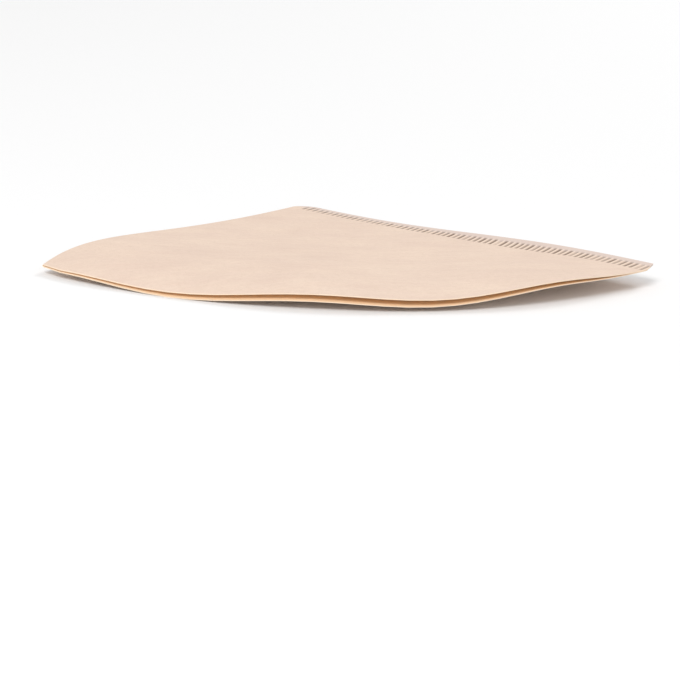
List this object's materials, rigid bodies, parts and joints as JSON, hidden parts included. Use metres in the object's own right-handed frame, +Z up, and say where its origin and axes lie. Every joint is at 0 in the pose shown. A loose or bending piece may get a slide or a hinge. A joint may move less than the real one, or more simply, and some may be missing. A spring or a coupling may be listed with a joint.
{
  "type": "paper coffee filter",
  "caption": "Flat-folded cone coffee filter of unbleached paper, with a fold along one straight side, a crimped seam along the other and an open curved rim.",
  "frame": {"origin": "centre of the part's box in plan, at the height of its lowest point", "axes": "+Z up out of the face that shows the crimped grooves, +Y from the open rim towards the tip, +X towards the crimped seam's corner"},
  "size_m": [0.166, 0.1153, 0.0062],
  "materials": {
    "unbleached_paper": "matte, unbleached cream-brown, with slight mottling"
  },
  "bodies": {
    "root": {"filter_paper": "unbleached_paper"}
  },
  "joints": []
}
